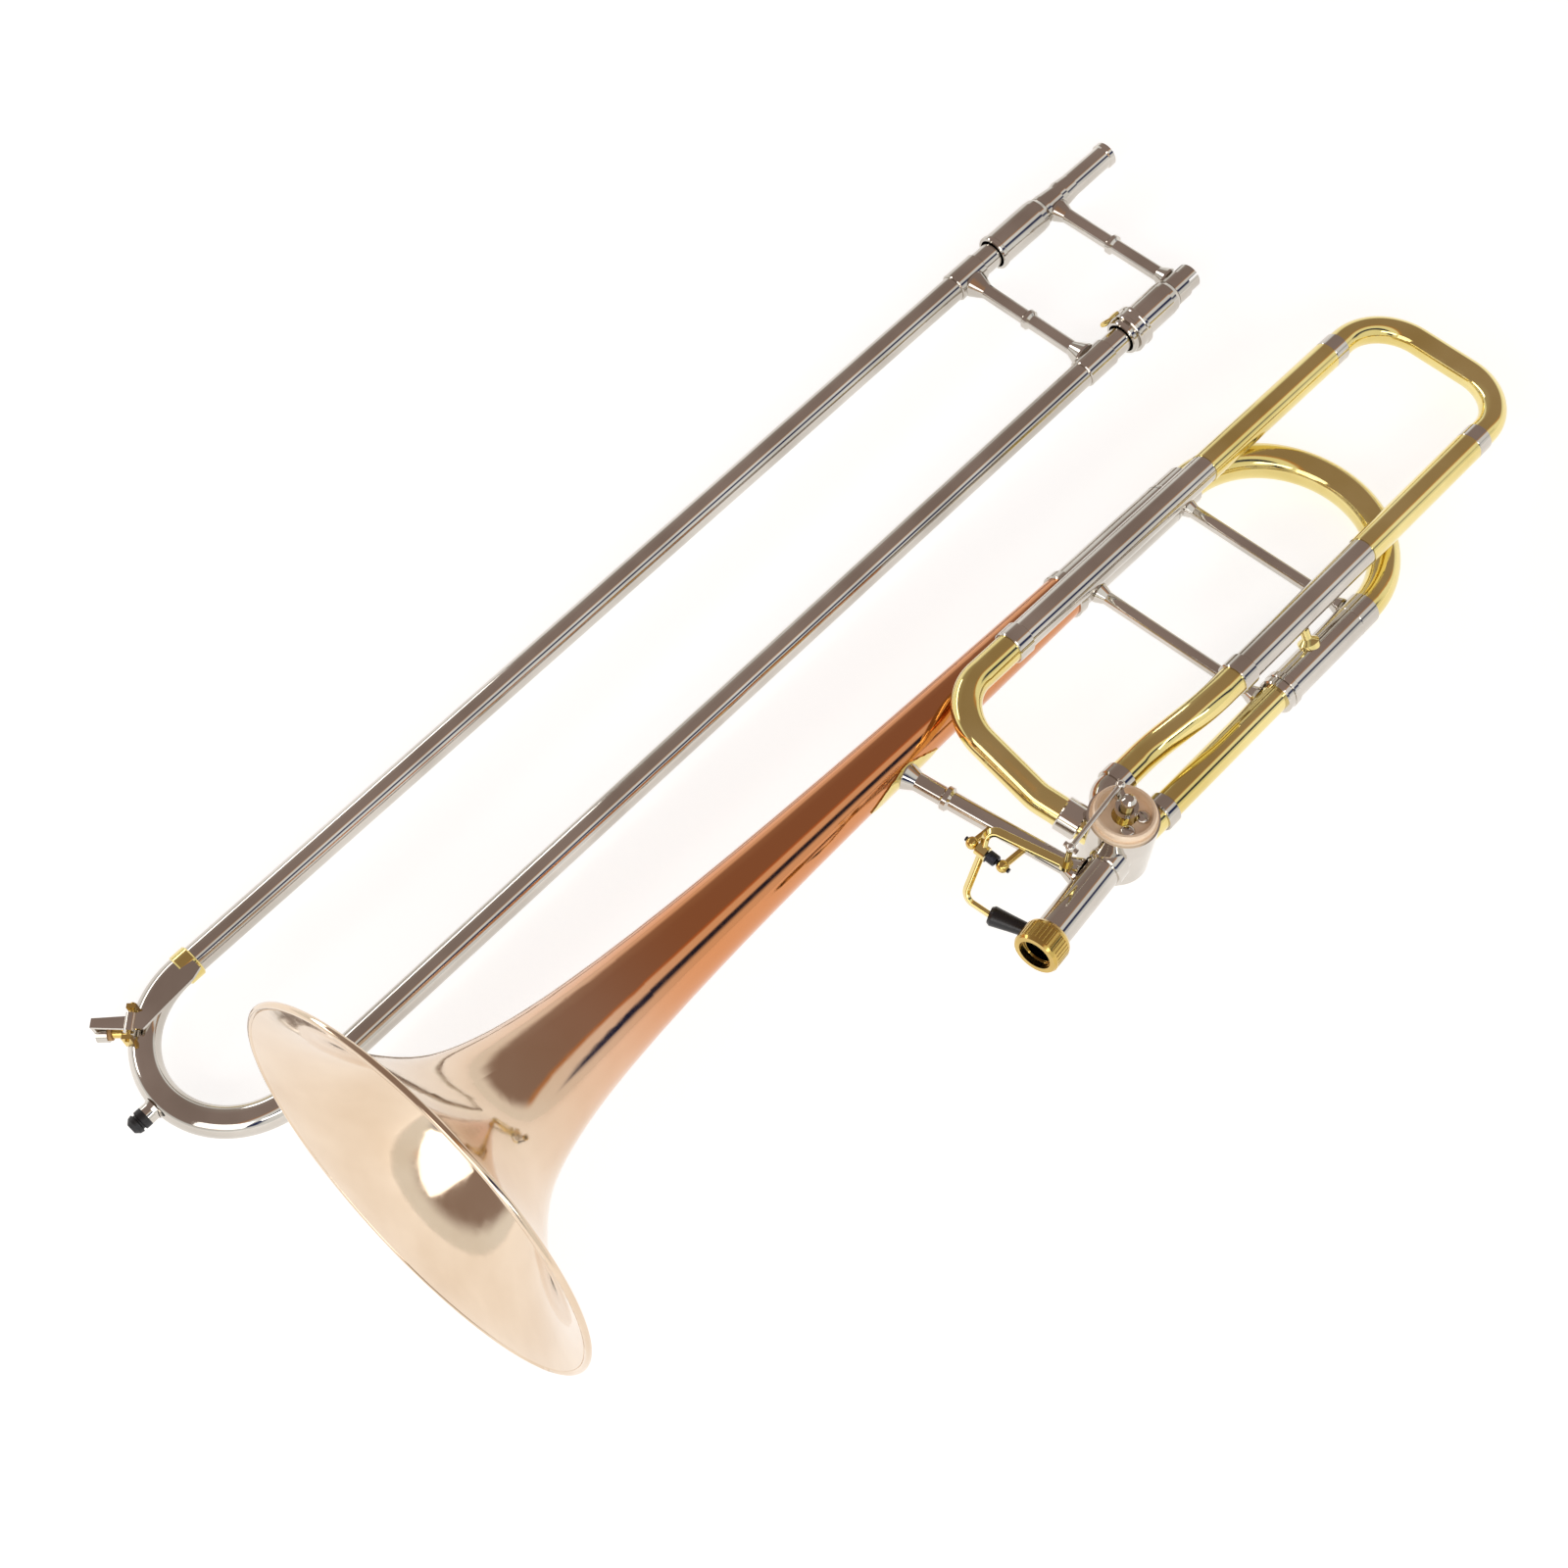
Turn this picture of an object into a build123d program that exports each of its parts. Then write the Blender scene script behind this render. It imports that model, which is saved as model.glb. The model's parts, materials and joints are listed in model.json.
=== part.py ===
from build123d import *
from math import asin, cos, degrees, hypot, radians, sin, sqrt
import os

os.makedirs("parts", exist_ok=True)

# A tenor trombone with an F attachment, taken apart into its two halves, which lie side by side.
# The hand slide lies along X, with its bow at low X and its mouthpiece end at high X.
# The bell section rests on its rim and on its tuning bow.  Millimetres, +Z up, floor at z = 0.

# Hand slide
slide_spacing = 91.9      # between the two tube axes
outer_tube_radius = 7.2
tube_wall = 0.45
outer_tube_bore = outer_tube_radius - tube_wall
stocking_clearance = 0.07
inner_tube_clearance = 0.35
inner_tube_radius = outer_tube_bore - inner_tube_clearance
inner_tube_bore = inner_tube_radius - tube_wall
bow_step = 0.6
slide_bow_radius = outer_tube_radius + bow_step      # of the bow's tubing
bow_wall = 0.6
barrel_start = 634.8       # from the bow's outer end to the rims of the cork barrels
barrel_length = 39.5
barrel_clearance = 1.2
barrel_wall = 1.2
barrel_bead = 0.6          # by which the barrel's rolled rim is larger than its body
barrel_bore = outer_tube_radius + barrel_clearance
barrel_radius = barrel_bore + barrel_wall + barrel_bead
barrel_overlap = 5.0       # of the outer tubes inside the barrels when the slide is closed
outer_brace_at = 613.0
inner_brace_at = 681.4
brace_radius = 4.2
brace_flare = 7.6
brace_bead = 5.6
stocking_length = 60.0
cork_length = 14.0
receiver_length = 55.0
receiver_radius = inner_tube_radius + 1.0
mouthpiece_bore = 6.0
tenon_length = 17.4
tenon_radius = inner_tube_radius + 0.8
tenon_slots = 4
lock_ring_length = 9.0
lock_tab_length = 8.0
lock_tab_angle = -52.0     # round the barrel from straight up, towards the other tube
lock_ring_wall = 2.12
lock_clearance = 0.08
lock_ring_radius = barrel_radius - barrel_bead + lock_clearance + lock_ring_wall
bumper_length = 13.0
bumper_radius = 4.9
key_angle = 133.0          # of the water key round the bow, from +X
key_nipple_length = 8.0
key_nipple_radius = 2.6
key_post_spacing = 16.0
key_axle_radius = 1.1
key_clearance = 0.06
key_axle_height = 11.2     # above the slide's plane
key_plate = 1.6
key_cup_radius = 4.6
key_cup_depth = 5.5
key_touch_at = 60.7        # the far end of its touchpiece, from the bow's end
key_touch_side = 36.1

# Bell
bell_radius = 101.6
rim_bead = 1.6
bell_wall = 0.8
bell_seam = 130.0          # from the rim to the seam between flare and stem
stem_end = 440.5
horn_scale = 259.6         # the horn's radius is scale / (distance - start) ** power
horn_start = 5.0
horn_power = 0.518
flare_depth = 30.0         # the last stretch opens faster than the horn's formula

# Bell section, by distance from the rim (u), from the bell's axis (v) and above its plane (w)
leg_spacing = 111.5        # from the bell's axis to the gooseneck's axis
bell_leg_radius = 11.2
bell_joint = 516.0         # where the tuning bow meets the bell's leg
goose_radius = 7.3
goose_wall = 0.6
goose_start = 380.0
goose_end = 464.0
goose_leg_radius = 8.9
goose_leg_start = 464.0
goose_joint = 521.5        # where the tuning bow meets the gooseneck's leg
main_bow_reach = 600.3     # from the rim to the bow's outer end
main_bow_radius_bell = 9.5
main_bow_radius_goose = 8.1
main_inner_length = 44.0
leg_clearance = 0.06
joint_gap = 0.3            # between a tuning bow's ferrule and its leg, pushed in
leg_wall = 0.7
upper_brace_bell_at = 450.0
upper_brace_goose_at = 453.2
slim_brace_radius = 3.5
slim_brace_flare = 5.4

# F attachment, in a plane above the main one
f_height = 21.0
f_left = 8.5
f_right = 96.5
f_tube_radius = 7.5
f_leg_radius = 7.9
f_bow_radius = 7.2
f_wall = 0.6
f_left_start = 380.0
f_left_change = 534.0      # from the nickel tube to the brass leg
f_right_start = 440.0
f_right_change = 546.0
f_joint = 640.1            # where the F tuning bow meets its legs
f_bow_reach = 690.9
f_bow_corner = 28.5
f_inner_length = 78.0
cross_corner_at = 332.0    # where the cross tube turns towards the valve
return_side = 86.5         # the return tube's last run, beside the valve
return_height = 1.0
knuckle_at = 367.0         # where the return tube meets its nickel knuckle

# Rotary valve
valve_at = 345.0
valve_side = 104.5
casing_radius = 17.0
casing_wall = 1.7
casing_bore = casing_radius - casing_wall
casing_half_height = 15.0
rotor_clearance = 0.06
rotor_half_height = 11.5
plate_thickness = 3.0
plate_gap = 0.05
spindle_radius = 3.0
cap_radius = casing_radius - 2.0
cap_height = 5.0
port_length = 8.0
port_step = 1.3            # by which a port's ferrule is larger than its tube
stop_arm_reach = 8.5
stop_arm_angle = -65.0     # from +u towards +v, at rest
rod_height = 26.0

# Neckpipe and its coupling
neck_mouth = 268.1
neck_mouth_side = 116.4
neck_top_side = 110.8
neck_socket_clearance = 0.08
neck_wall = 1.3
neck_radius = tenon_radius + neck_socket_clearance + neck_wall
nut_radius = neck_radius + 2.9
nut_length = 13.5
nut_knurls = 36
nut_clearance = 0.06

# Thumb lever on the lower brace
lower_brace_bell_at = 301.5
lower_brace_neck_at = valve_at - casing_radius - 12.0
lower_brace_radius = 4.8
lever_axis_at = 291.5
lever_axis_height = 5.0
post_near = 60.2
post_far = 78.2
post_radius = 1.7
ball_radius = 3.1
axle_radius = 1.2
lever_clearance = 0.06
spring_coils = 6
link_radius = 1.2
link_ball_radius = 2.3
lever_strip_height = 14.0
lever_strip_width = 4.6
lever_strip_thickness = 2.6
lever_arm_at = 307.0
lever_arm_side = 101.0
lever_corner_at = 297.7
lever_corner_side = 63.0
lever_foot_at = 276.5
lever_foot_height = -13.5
grip_at = 279.0            # where the grip starts
grip_side = 84.0
grip_height = -16.0
grip_length = 34.0
grip_radius = 4.9
grip_tip_radius = 3.2

# How the two halves lie
slide_height = lock_ring_radius
side_gap = 7.1             # between the slide's tube and the bell's rim, in plan
rim_from_bow = 47.4       # the bell's rim is this far along from the slide's bow end
heading = 2.63             # degrees, the bell section turns off the slide's line
roll = -3.67               # degrees, about the bell's axis


def resting_tilt():
    # Tilt of the bell's axis, in degrees, at which rim and tuning bow both touch the floor.
    middle = main_bow_reach - main_bow_radius_bell - leg_spacing / 2
    lean = sin(radians(-roll))
    tilt = radians(8)
    for _ in range(12):
        rim = (bell_radius - rim_bead) * cos(tilt) + rim_bead + rim_bead * sin(tilt)
        sag = leg_spacing / 2 * (lean + sqrt(sin(tilt) ** 2 + lean ** 2))
        tilt = asin((rim - sag - main_bow_radius_bell) / middle)
    return degrees(tilt)


tilt = resting_tilt()
slide_reach = barrel_start + barrel_length + receiver_length
bell_reach = rim_from_bow + f_bow_reach * cos(radians(tilt))
overall_length = bumper_length + max(slide_reach, bell_reach)
slide_end = -overall_length / 2 + bumper_length      # x of the slide bow's outer end
rim_height = (bell_radius - rim_bead) * cos(radians(tilt)) + rim_bead + rim_bead * sin(radians(tilt))

along = Vector(1, 0, 0).rotate(Axis.Y, tilt).rotate(Axis.Z, heading)
across = along.cross(Vector(0, 0, 1)).normalized()
across = across.rotate(Axis((0, 0, 0), along), -roll)
up = across.cross(along)
rim_offset = slide_spacing / 2 + outer_tube_radius + side_gap + bell_radius
far_side = rim_offset + neck_mouth_side + nut_radius - along.Y * neck_mouth
near_side = slide_spacing / 2 + barrel_radius
slide_side = (far_side - near_side) / 2              # y of the line midway between the slide's tubes
rim_side = slide_side - rim_offset
section = Plane(origin=(slide_end + rim_from_bow, rim_side, rim_height), x_dir=along, z_dir=up)


def at(u, v, w=0.0):
    # A point of the bell section in the model's frame.
    return section.from_local_coords(Vector(u, -v, w))


def slide_point(x, y, z=0.0):
    # A point of the hand slide: x from the bow's outer end, y from the middle, z from its plane.
    return Vector(slide_end + x, slide_side + y, slide_height + z)


def save(piece, name):
    piece.part.label = name
    export_step(piece.part, f"parts/{name}.step")


def side_plane(start, direction):
    # A plane that holds the line from start along direction, for half profiles to revolve.
    other = Vector(0, 0, 1) if abs(direction.Z) < 0.9 else Vector(0, 1, 0)
    return Plane(origin=start, x_dir=direction, z_dir=direction.cross(other).normalized())


def turned(*profiles, cuts=()):
    # Solids of revolution.  Each profile is a start, an end and an outline of (distance, radius).
    with BuildPart() as piece:
        for start, end, outline in profiles:
            direction = (end - start).normalized()
            with BuildSketch(side_plane(start, direction)):
                with BuildLine():
                    Polyline(*outline, close=True)
                make_face()
            revolve(axis=Axis(start, direction))
        for blank in cuts:
            add(blank, mode=Mode.SUBTRACT)
    return piece


def ring(start, end, outer, bore):
    # The profile of a plain tube from start to end.
    length = (end - start).length
    return (start, end, [(0, bore), (length, bore), (length, outer), (0, outer)])


def rounded_ring(start, end, outer, bore, soft=0.8):
    # The same with its outer edges chamfered, as on a ferrule, by at most half the wall.
    length = (end - start).length
    soft = min(soft, (outer - bore) / 2)
    outline = [(0, bore), (length, bore), (length, outer - soft), (length - soft, outer)]
    return (start, end, outline + [(soft, outer), (0, outer - soft)])


def rod(start, end, radius):
    # A plain solid bar, used as a piece or to cut a seat into a neighbour.
    with BuildPart() as bar:
        with BuildSketch(Plane(origin=start, z_dir=(end - start).normalized())):
            Circle(radius)
        extrude(amount=(end - start).length)
    return bar.part


def brace_profile(start, end, radius, flare, bead, bead_share=0.5):
    # A brace with flared feet and a bead, which is at a share of its length.
    length = (end - start).length
    mid = length * bead_share
    foot = 2.2 * (flare - radius) + 2
    outline = [(0, 0), (length, 0), (length, flare), (length - 1.4, flare), (length - foot, radius)]
    if bead:
        outline += [(mid + 2.4, radius), (mid + 1.2, bead), (mid - 1.2, bead), (mid - 2.4, radius)]
    return (start, end, outline + [(foot, radius), (1.4, flare), (0, flare)])


def bent_tube(points, radii, outer, bore, cuts=()):
    # A tube of straight runs joined by tangent arcs.
    with BuildPart() as piece:
        with BuildLine() as route:
            FilletPolyline(*points, radius=radii)
        with BuildSketch(Plane(origin=points[0], z_dir=(points[1] - points[0]).normalized())):
            Circle(outer)
            Circle(bore, mode=Mode.SUBTRACT)
        sweep(path=route.line)
        for blank in cuts:
            add(blank, mode=Mode.SUBTRACT)
    return piece


# ---- Hand slide, inner half ----

sides = (slide_spacing / 2, -slide_spacing / 2)
barrel_end = barrel_start + barrel_length
outer_tube_end = barrel_start + barrel_overlap
bow_middle = slide_bow_radius + slide_spacing / 2
stocking_radius = outer_tube_bore - stocking_clearance
cork_start = outer_tube_end + 10.4
inner_tube_start = bow_middle + 6

profiles = []
for y in sides:
    start = slide_point(inner_tube_start, y)
    outline = [
        (0, inner_tube_bore),
        (barrel_end - inner_tube_start, inner_tube_bore),
        (barrel_end - inner_tube_start, inner_tube_radius),
        (stocking_length + 2, inner_tube_radius),
        (stocking_length, stocking_radius),
        (0, stocking_radius),
    ]
    profiles.append((start, slide_point(barrel_end, y), outline))
inner_tubes = turned(*profiles)
save(inner_tubes, "inner_slide_tubes")


def barrel_outline(length, cap=3.0):
    # A cork barrel: a cup with a rolled rim at its open end and a stepped closed end.
    return [
        (0, barrel_bore),
        (length - cap, barrel_bore),
        (length - cap, inner_tube_radius),
        (length, inner_tube_radius),
        (length, barrel_radius - barrel_bead - 1.6),
        (length - 2.5, barrel_radius - barrel_bead - 0.4),
        (length - 6, barrel_radius - barrel_bead),
        (3.2, barrel_radius - barrel_bead),
        (2.6, barrel_radius),
        (0.6, barrel_radius),
        (0, barrel_radius - 0.5),
    ]


for y, name in zip(sides, ("upper", "lower")):
    barrel = turned((slide_point(barrel_start, y), slide_point(barrel_end, y), barrel_outline(barrel_length)))
    save(barrel, f"{name}_cork_barrel")

cork_end = cork_start + cork_length
corks = turned(
    *[
        ring(slide_point(cork_start, y), slide_point(cork_end, y), barrel_bore, inner_tube_radius)
        for y in sides
    ]
)
save(corks, "barrel_corks")

# Receiver for the mouthpiece on the upper side, with a taper bore and a rolled mouth.
receiver_outline = [
    (0, inner_tube_bore),
    (receiver_length * 0.35, inner_tube_bore - 0.6),
    (receiver_length * 0.36, mouthpiece_bore),
    (receiver_length, mouthpiece_bore),
    (receiver_length, receiver_radius),
    (receiver_length - 3, receiver_radius),
    (receiver_length - 3.6, receiver_radius - 0.8),
    (receiver_length * 0.45, receiver_radius - 0.6),
    (receiver_length * 0.30, receiver_radius + 0.3),
    (receiver_length * 0.24, receiver_radius - 0.3),
    (receiver_length * 0.05, receiver_radius + 0.8),
    (0, receiver_radius + 0.8),
]
receiver = turned(
    (slide_point(barrel_end, sides[0]), slide_point(barrel_end + receiver_length, sides[0]), receiver_outline)
)
save(receiver, "mouthpiece_receiver")

# Slotted tenon on the lower side, which enters the neckpipe's socket.
with BuildPart() as tenon:
    with BuildSketch(side_plane(slide_point(barrel_end, sides[1]), Vector(1, 0, 0))):
        with BuildLine():
            Polyline(
                (0, inner_tube_bore),
                (tenon_length, inner_tube_bore - 0.3),
                (tenon_length, tenon_radius - 0.5),
                (tenon_length - 0.5, tenon_radius),
                (9, tenon_radius),
                (9, tenon_radius + 1),
                (0, tenon_radius + 1),
                close=True,
            )
        make_face()
    revolve(axis=Axis(slide_point(barrel_end, sides[1]), (1, 0, 0)))
    with Locations(Plane(origin=slide_point(barrel_end + tenon_length, sides[1]), z_dir=(1, 0, 0))):
        with PolarLocations(0, tenon_slots // 2, start_angle=45, angular_range=180, endpoint=False):
            Box(3 * tenon_radius, 1.4, 14, mode=Mode.SUBTRACT)
save(tenon, "slide_tenon")

inner_seats = (
    rod(slide_point(barrel_end, sides[0]), slide_point(barrel_end + 40, sides[0]), receiver_radius + 0.8),
    rod(slide_point(barrel_end, sides[1]), slide_point(barrel_end + 40, sides[1]), tenon_radius + 1),
)
inner_brace = turned(
    brace_profile(
        slide_point(inner_brace_at, sides[0] - receiver_radius + 1),
        slide_point(inner_brace_at, sides[1] + tenon_radius - 1),
        brace_radius, brace_flare - 1, brace_bead,
    ),
    cuts=inner_seats,
)
save(inner_brace, "inner_slide_brace")

# ---- Hand slide, outer half ----

outer_tubes = turned(
    *[
        ring(slide_point(bow_middle, y), slide_point(outer_tube_end, y), outer_tube_radius, outer_tube_bore)
        for y in sides
    ]
)
save(outer_tubes, "outer_slide_tubes")

with BuildPart() as slide_bow:
    with BuildLine() as bow_line:
        ThreePointArc(
            slide_point(bow_middle, sides[0]),
            slide_point(slide_bow_radius, 0),
            slide_point(bow_middle, sides[1]),
        )
    with BuildSketch(Plane(origin=slide_point(bow_middle, sides[0]), z_dir=(-1, 0, 0))):
        Circle(slide_bow_radius)
        Circle(slide_bow_radius - bow_wall, mode=Mode.SUBTRACT)
    sweep(path=bow_line.line)
save(slide_bow, "slide_bow")

bow_ferrule_radius = slide_bow_radius + 0.7
bow_ferrules = turned(
    *[
        rounded_ring(
            slide_point(bow_middle, y), slide_point(bow_middle + 9, y), bow_ferrule_radius, outer_tube_radius
        )
        for y in sides
    ]
)
save(bow_ferrules, "slide_bow_ferrules")

collar_radius = outer_tube_radius + 1.0
outer_seats = [
    rod(slide_point(outer_brace_at - 20, y), slide_point(outer_brace_at + 20, y), collar_radius)
    for y in sides
]
outer_brace = turned(
    brace_profile(
        slide_point(outer_brace_at, sides[0] - outer_tube_radius + 1),
        slide_point(outer_brace_at, sides[1] + outer_tube_radius - 1),
        brace_radius, brace_flare, brace_bead,
    ),
    cuts=outer_seats,
)
save(outer_brace, "outer_slide_brace")

brace_collars = turned(
    *[
        rounded_ring(
            slide_point(outer_brace_at - 10, y), slide_point(outer_brace_at + 10, y),
            collar_radius, outer_tube_radius, 0.5,
        )
        for y in sides
    ]
)
save(brace_collars, "outer_brace_collars")

bow_blank = slide_bow.part
bumper_socket = turned(
    (
        slide_point(1.5, 0), slide_point(-4, 0),
        [(0, 0), (3.5, 0), (3.5, bumper_radius - 1.6), (5.5, bumper_radius - 1.6), (5.5, bumper_radius),
         (2.2, bumper_radius), (0, bumper_radius + 1.2)],
    ),
    cuts=[rod(slide_point(slide_bow_radius, 40), slide_point(slide_bow_radius, -40), slide_bow_radius)],
)
save(bumper_socket, "bumper_socket")

bumper_tip = bumper_length - 2.0
bumper_outline = [
    (0, 0),
    (bumper_tip, 0),
    (bumper_tip, 2.6),
    (bumper_tip - 2, bumper_radius - 0.4),
    (bumper_tip - 4, bumper_radius),
    (bumper_tip - 4.4, bumper_radius - 1),
    (bumper_tip - 5.2, bumper_radius - 1),
    (bumper_tip - 5.6, bumper_radius),
    (2, bumper_radius),
    (2, bumper_radius - 1.6),
    (0, bumper_radius - 1.6),
]
bumper = turned((slide_point(-2, 0), slide_point(-bumper_length, 0), bumper_outline))
save(bumper, "end_bumper")


# Slide lock: a brass ring that turns on the lower barrel, with a hooked tab towards the brace.
with BuildPart() as slide_lock:
    with BuildSketch(Plane(origin=slide_point(barrel_start + 3.6, sides[1]), z_dir=(1, 0, 0))):
        Circle(lock_ring_radius)
        Circle(lock_ring_radius - lock_ring_wall, mode=Mode.SUBTRACT)
    extrude(amount=lock_ring_length)
    tab_plane = Plane(origin=slide_point(barrel_start + 3.6, sides[1]), x_dir=(0, 0, 1), z_dir=(1, 0, 0))
    with BuildSketch(tab_plane):
        with Locations(Rotation(0, 0, lock_tab_angle)):
            with Locations((lock_ring_radius, 0)):
                Rectangle(3.2, 5)
    extrude(amount=-lock_tab_length)
save(slide_lock, "slide_lock_ring")

# Water key: a sprung lever over the bow, with a corked cup on the nipple at the bow's outer side.
turn = radians(key_angle)
bow_axis = slide_point(bow_middle, 0)
outward = Vector(cos(turn), sin(turn), 0)
tangent = Vector(sin(turn), -cos(turn), 0)
crown = bow_axis + outward * (slide_spacing / 2)
axle_middle = crown + outward * 4 + Vector(0, 0, key_axle_height)


def by_key(out, side=0.0, height=0.0):
    # A point near the water key: outward from the bow's tube, along it, and above its plane.
    return crown + outward * out + tangent * side + Vector(0, 0, height)


nipple_end = slide_bow_radius + key_nipple_length
nipple_run = key_nipple_length + 1.5
nipple_outline = [
    (0, 1.5),
    (nipple_run, 1.5),
    (nipple_run, key_nipple_radius),
    (4.5, key_nipple_radius),
    (3.5, key_nipple_radius + 1.4),
    (0, key_nipple_radius + 1.4),
]
nipple = turned(
    (by_key(slide_bow_radius - 1.5), by_key(nipple_end), nipple_outline),
    cuts=[bow_blank, rod(by_key(0, -9), by_key(0, 9), slide_bow_radius - 0.2)],
)
save(nipple, "water_key_nipple")

half = key_post_spacing / 2
with BuildPart() as key_posts:
    for s in (-half, half):
        with BuildSketch(Plane(origin=by_key(4, s, 0), z_dir=(0, 0, 1), x_dir=tangent)):
            Rectangle(2.4, 4.6)
        extrude(amount=key_axle_height + 2.2)
    axle_reach = half + 2.2
    add(rod(by_key(4, -axle_reach, key_axle_height), by_key(4, axle_reach, key_axle_height), key_axle_radius))
    add(bow_blank, mode=Mode.SUBTRACT)
    add(rod(by_key(0, -half - 4), by_key(0, half + 4), slide_bow_radius - 0.2), mode=Mode.SUBTRACT)
save(key_posts, "water_key_saddle")

cup_start = nipple_end + 1.7
plate_base = key_axle_height - key_plate / 2
touch = slide_point(key_touch_at, key_touch_side, plate_base)
with BuildPart() as water_key:
    with BuildSketch(Plane.XY.offset(slide_height + plate_base)) as key_outline:
        with BuildLine():
            Polyline(
                *[
                    (p.X, p.Y)
                    for p in (
                        by_key(cup_start + key_cup_depth, -2.4),
                        by_key(6, -3.2),
                        by_key(-3, -3.4),
                        by_key(-12, 8),
                        touch + Vector(-6, -4.6, 0),
                        touch + Vector(0, -2.6, 0),
                        touch + Vector(0, 3.0, 0),
                        touch + Vector(-16, 5.2, 0),
                        by_key(-2, 6.0),
                        by_key(6, 3.2),
                        by_key(cup_start + key_cup_depth, 2.4),
                    )
                ],
                close=True,
            )
        make_face()
    extrude(amount=key_plate)
    add(rod(by_key(4, -4.6, key_axle_height), by_key(4, 4.6, key_axle_height), key_axle_radius + 1.5))
    add(rod(by_key(cup_start, 0), by_key(cup_start + key_cup_depth, 0), key_cup_radius))
    with BuildSketch(Plane(origin=by_key(cup_start + key_cup_depth - 1.6), z_dir=outward, x_dir=tangent)):
        with Locations((0, -(plate_base + key_plate) / 2)):
            Rectangle(4.4, plate_base + key_plate)
    extrude(amount=1.6)
    add(rod(by_key(cup_start - 1, 0), by_key(cup_start + 2, 0), key_cup_radius - 0.9), mode=Mode.SUBTRACT)
    hole_radius = key_axle_radius + key_clearance
    add(rod(by_key(4, -20, key_axle_height), by_key(4, 20, key_axle_height), hole_radius), mode=Mode.SUBTRACT)
save(water_key, "water_key")

key_cork = turned(ring(by_key(nipple_end + 0.05), by_key(cup_start + 2), key_cup_radius - 0.9, 0))
save(key_cork, "water_key_cork")

# ---- Bell ----


def horn(u):
    # Outer radius of the bell's tail at a distance from the rim.
    return horn_scale / (u - horn_start) ** horn_power


def shell(points, square_start=True):
    # A revolved shell whose outer line runs through the points of (distance, radius).
    inner = []
    for i, (u, r) in enumerate(points):
        before = points[max(i - 1, 0)]
        after = points[min(i + 1, len(points) - 1)]
        run = hypot(after[0] - before[0], after[1] - before[1])
        normal = ((after[1] - before[1]) / run, (after[0] - before[0]) / run)
        inner.append((u + normal[0] * bell_wall, r - normal[1] * bell_wall))
    inner[-1] = (points[-1][0], points[-1][1] - bell_wall)
    if square_start:
        inner[0] = (points[0][0], points[0][1] - bell_wall)
    with BuildPart() as piece:
        with BuildSketch(side_plane(at(0, 0), along)):
            with BuildLine():
                outer_line = Spline(*points)
                inner_line = Spline(*inner)
                Line(points[0], inner[0])
                Line(points[-1], inner[-1])
            make_face()
        revolve(axis=Axis(at(0, 0), along))
    return piece


rise = bell_radius - rim_bead - horn(flare_depth)
flare_shape = ((0.20, 0.65), (0.46, 0.365), (0.73, 0.16))
flare_points = [(flare_depth * 0.045, bell_radius - 1.8 * rim_bead)]
flare_points += [(flare_depth * d, horn(flare_depth) + rise * r) for d, r in flare_shape]
flare_points += [(u, horn(u)) for u in (flare_depth, 42, 58, 78, 102, bell_seam)]
with BuildPart() as bell_flare:
    add(shell(flare_points, square_start=False).part)
    with BuildSketch(side_plane(at(0, 0), along)):
        with Locations((rim_bead, bell_radius - rim_bead)):
            Circle(rim_bead)
    revolve(axis=Axis(at(0, 0), along))
save(bell_flare, "bell_flare")

stem_places = [bell_seam + (stem_end - bell_seam) * i / 6 for i in range(7)]
bell_stem = shell([(u, horn(u)) for u in stem_places])
save(bell_stem, "bell_stem")

stem_spots = (stem_end, 400, 360, 320, 290, 250, 200, 150, 100, 60)
stem_outline = [(60, 0), (stem_end, 0)] + [(u, horn(u)) for u in stem_spots]
stem_blank = turned((at(0, 0), at(stem_end, 0), stem_outline)).part

bell_leg_bore = bell_leg_radius - leg_wall
bell_leg = turned(ring(at(stem_end, 0), at(bell_joint, 0), bell_leg_radius, bell_leg_bore))
save(bell_leg, "bell_leg")
goose_leg_bore = goose_leg_radius - leg_wall
goose_leg = turned(
    ring(at(goose_leg_start, leg_spacing), at(goose_joint, leg_spacing), goose_leg_radius, goose_leg_bore)
)
save(goose_leg, "gooseneck_leg")
leg_ferrules = turned(
    rounded_ring(at(stem_end - 6, 0), at(stem_end, 0), bell_leg_radius + 1.2, horn(stem_end - 6) + 0.02),
    rounded_ring(
        at(goose_end - 5, leg_spacing), at(goose_end, leg_spacing),
        goose_leg_radius + 0.6, goose_radius,
    ),
    rounded_ring(
        at(goose_leg_start, leg_spacing), at(goose_leg_start + 4, leg_spacing),
        goose_leg_radius + 0.9, goose_leg_radius,
    ),
)
save(leg_ferrules, "leg_ferrules")

# ---- Main tuning slide ----

bow_centre_u = main_bow_reach - main_bow_radius_bell - leg_spacing / 2
bow_rings = 9


def bow_shell(inset):
    # The conical bow, lofted through rings on its half circle.
    with BuildPart() as piece:
        for i in range(bow_rings):
            angle = radians(-90 + 180 * i / (bow_rings - 1))
            share = i / (bow_rings - 1)
            radius = main_bow_radius_bell + (main_bow_radius_goose - main_bow_radius_bell) * share
            middle = at(bow_centre_u + leg_spacing / 2 * cos(angle), leg_spacing / 2 * (1 + sin(angle)))
            ahead = along * -sin(angle) + across * cos(angle)
            with BuildSketch(Plane(origin=middle, x_dir=up, z_dir=ahead)):
                Circle(radius - inset)
        loft()
    return piece.part


with BuildPart() as main_bow:
    add(bow_shell(0))
    add(bow_shell(0.7), mode=Mode.SUBTRACT)
save(main_bow, "main_tuning_bow")

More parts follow.
